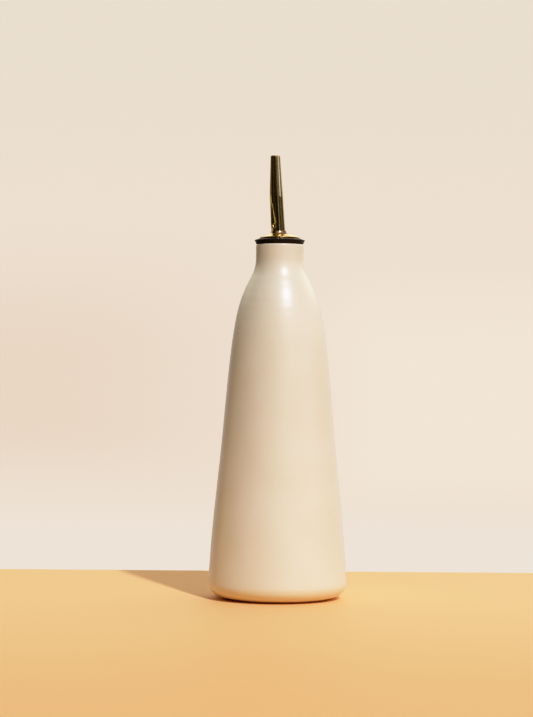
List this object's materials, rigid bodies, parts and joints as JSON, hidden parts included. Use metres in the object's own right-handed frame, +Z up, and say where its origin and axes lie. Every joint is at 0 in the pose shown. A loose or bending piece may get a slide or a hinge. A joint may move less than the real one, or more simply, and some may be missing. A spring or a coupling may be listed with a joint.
{
  "type": "olive oil cruet",
  "caption": "Tall conical glazed stoneware oil cruet with a narrow neck and a push-in metal pourer: finned rubber stopper, domed collar, tapered spout and air tube.",
  "frame": {"origin": "middle of the foot ring, on the surface that the bottle stands on", "axes": "+Z up along the bottle's axis; seen from the front, which is from -Y, +X is to the right, and the spout leans to the left and forwards"},
  "size_m": [0.0818, 0.0818, 0.2625],
  "materials": {
    "glaze": "satin cream glaze",
    "rubber": "matte black moulded rubber",
    "gold_metal": "polished pale gold"
  },
  "bodies": {
    "bottle": {"bottle": "glaze"},
    "pourer": {"stopper": "rubber", "collar": "gold_metal", "spout": "gold_metal", "air_tube": "gold_metal"}
  },
  "joints": [
    {"name": "pourer_pull", "type": "slide", "parent": "bottle", "child": "pourer", "axis": [0, 0, 1], "range_m": [0, 0.05]}
  ]
}
